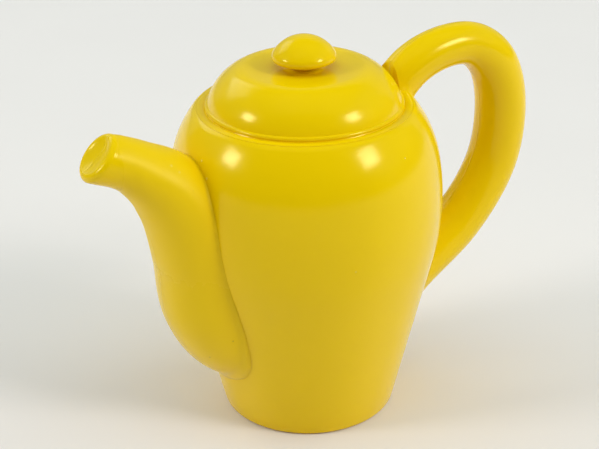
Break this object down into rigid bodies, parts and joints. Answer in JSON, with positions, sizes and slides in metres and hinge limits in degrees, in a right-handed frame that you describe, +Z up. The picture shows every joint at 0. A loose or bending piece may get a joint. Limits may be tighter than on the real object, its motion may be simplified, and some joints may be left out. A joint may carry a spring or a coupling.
{
  "type": "toy teapot",
  "caption": "Small barrel-shaped toy teapot in yellow plastic, with a closed spout, a round loop handle and a lid that lifts off by its knob.",
  "frame": {"origin": "centre of the foot, on the surface that the pot stands on", "axes": "+Z up through the lid knob, -X towards the spout, +X towards the handle"},
  "size_m": [0.0469, 0.0254, 0.037],
  "materials": {
    "yellow_plastic": "glossy moulded, solid yellow"
  },
  "bodies": {
    "pot": {"pot_body": "yellow_plastic", "base_disc": "yellow_plastic", "spout": "yellow_plastic", "handle": "yellow_plastic"},
    "lid": {"lid": "yellow_plastic", "lid_knob": "yellow_plastic"}
  },
  "joints": [
    {"name": "lid_lift", "type": "slide", "parent": "pot", "child": "lid", "axis": [0, 0, 1], "range_m": [0, 0.015]}
  ]
}
